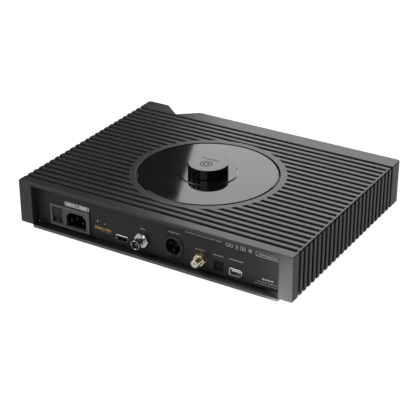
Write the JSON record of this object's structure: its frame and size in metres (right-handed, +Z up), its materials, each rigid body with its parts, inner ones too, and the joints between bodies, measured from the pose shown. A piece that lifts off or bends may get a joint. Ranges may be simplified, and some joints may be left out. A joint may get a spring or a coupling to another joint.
{
  "type": "top-loading disc player",
  "caption": "Compact disc player in a ribbed black case with a round lift-off lid, a lifting knob, a front notch with a thumb wheel and a recessed rear socket bay.",
  "frame": {"origin": "on the ground, under the centre of the bounding box", "axes": "front faces -Y, +X is to the right seen from the front, +Z up"},
  "size_m": [0.312, 0.2436, 0.0683],
  "materials": {
    "case_black": "bead-blasted black anodised, satin",
    "base_black": "fine texture black powder coat",
    "panel_black": "fine texture black paint with pale print",
    "lid_gloss": "smoked gloss",
    "knob_gloss": "polished black",
    "rim_black": "turned black anodised",
    "black_plastic": "moulded matte",
    "foot_rubber": "matte",
    "steel": "brushed",
    "nickel": "bright nickel plate",
    "gold": "bright gold plate",
    "white_insulator": "white moulded",
    "board_green": "solder mask with parts",
    "core": "taped winding",
    "lens": "coated lens",
    "display_black": "smoked window"
  },
  "bodies": {
    "case": {"top_cover": "case_black", "front_bezel": "case_black", "base_plate": "base_black", "rear_panel": "panel_black", "base_screw_1": "steel", "base_screw_2": "steel", "base_screw_3": "steel", "base_screw_4": "steel", "foot_1": "foot_rubber", "foot_2": "foot_rubber", "foot_3": "foot_rubber", "foot_4": "foot_rubber", "disc_well": "black_plastic", "spindle_motor": "steel", "transport_chassis": "steel", "damper_1": "foot_rubber", "damper_2": "foot_rubber", "damper_3": "foot_rubber", "guide_rail_1": "steel", "guide_rail_2": "steel", "sled_motor": "steel", "main_board": "board_green", "power_board": "board_green", "rear_board": "board_green", "front_board": "board_green", "mains_transformer": "core", "inlet_body": "black_plastic", "inlet_pin_1": "nickel", "inlet_pin_2": "nickel", "inlet_pin_3": "nickel", "data_socket_shell": "steel", "data_socket_tongue": "black_plastic", "usb_shell": "nickel", "usb_tongue": "white_insulator", "bayonet_socket_body": "nickel", "bayonet_socket_insulator": "white_insulator", "balanced_socket_shell": "base_black", "balanced_socket_insert": "black_plastic", "phono_socket_body": "gold", "phono_socket_insulator": "white_insulator", "optical_socket": "black_plastic", "display_window": "display_black", "display_module": "black_plastic", "wheel_encoder": "black_plastic"},
    "lid": {"lid_disc": "lid_gloss", "lid_rim": "rim_black", "lid_knob": "knob_gloss", "knob_screw": "steel", "clamp_retainer": "black_plastic"},
    "clamp": {"disc_clamp": "black_plastic"},
    "spindle": {"spindle_hub": "black_plastic"},
    "sled": {"pickup_sled": "black_plastic", "pickup_lens": "lens"},
    "feed_screw": {"lead_screw": "steel"},
    "rocker": {"power_rocker": "black_plastic"},
    "key_1": {"button_1": "rim_black"},
    "key_2": {"button_2": "rim_black"},
    "key_3": {"button_3": "rim_black"},
    "thumb_wheel": {"control_wheel": "rim_black"},
    "shutter": {"optical_shutter": "black_plastic"}
  },
  "joints": [
    {"name": "lid_lift", "type": "slide", "parent": "case", "child": "lid", "axis": [0, 0, 1], "range_m": [0, 0.06]},
    {"name": "spindle_spin", "type": "hinge", "parent": "case", "child": "spindle", "pos_m": [0, 0.00687, 0.042], "axis": [0, 0, 1], "continuous": true},
    {"name": "clamp_spin", "type": "hinge", "parent": "lid", "child": "clamp", "pos_m": [0, 0.00687, 0.047], "axis": [0, 0, 1], "continuous": true},
    {"name": "sled_slide", "type": "slide", "parent": "case", "child": "sled", "axis": [0, -1, 0], "range_m": [0, 0.033]},
    {"name": "feed_screw_spin", "type": "hinge", "parent": "case", "child": "feed_screw", "pos_m": [0.026, -0.03313, 0.0295], "axis": [0, 1, 0], "range_deg": [-20, 3980]},
    {"name": "rocker_tilt", "type": "hinge", "parent": "case", "child": "rocker", "pos_m": [0.1156, 0.1048, 0.0229], "axis": [1, 0, 0], "range_deg": [0, 16]},
    {"name": "key_1_press", "type": "slide", "parent": "case", "child": "key_1", "axis": [0, 1, 0], "range_m": [0, 0.0008], "stiffness_N_per_m": 500},
    {"name": "key_2_press", "type": "slide", "parent": "case", "child": "key_2", "axis": [0, 1, 0], "range_m": [0, 0.0008], "stiffness_N_per_m": 500},
    {"name": "key_3_press", "type": "slide", "parent": "case", "child": "key_3", "axis": [0, 1, 0], "range_m": [0, 0.0008], "stiffness_N_per_m": 500},
    {"name": "wheel_turn", "type": "hinge", "parent": "case", "child": "thumb_wheel", "pos_m": [0.109, -0.0995, 0.034], "axis": [0, 0, 1], "continuous": true},
    {"name": "shutter_swing", "type": "hinge", "parent": "case", "child": "shutter", "pos_m": [-0.0715, 0.10675, 0.0209], "axis": [-1, 0, 0], "range_deg": [0, 75], "stiffness_Nm_per_rad": 0.0004}
  ],
  "couplings": [
    {"joint": "clamp_spin", "follows": "spindle_spin", "ratio": 1},
    {"joint": "feed_screw_spin", "follows": "sled_slide", "rad_per_m": 2094.4}
  ]
}
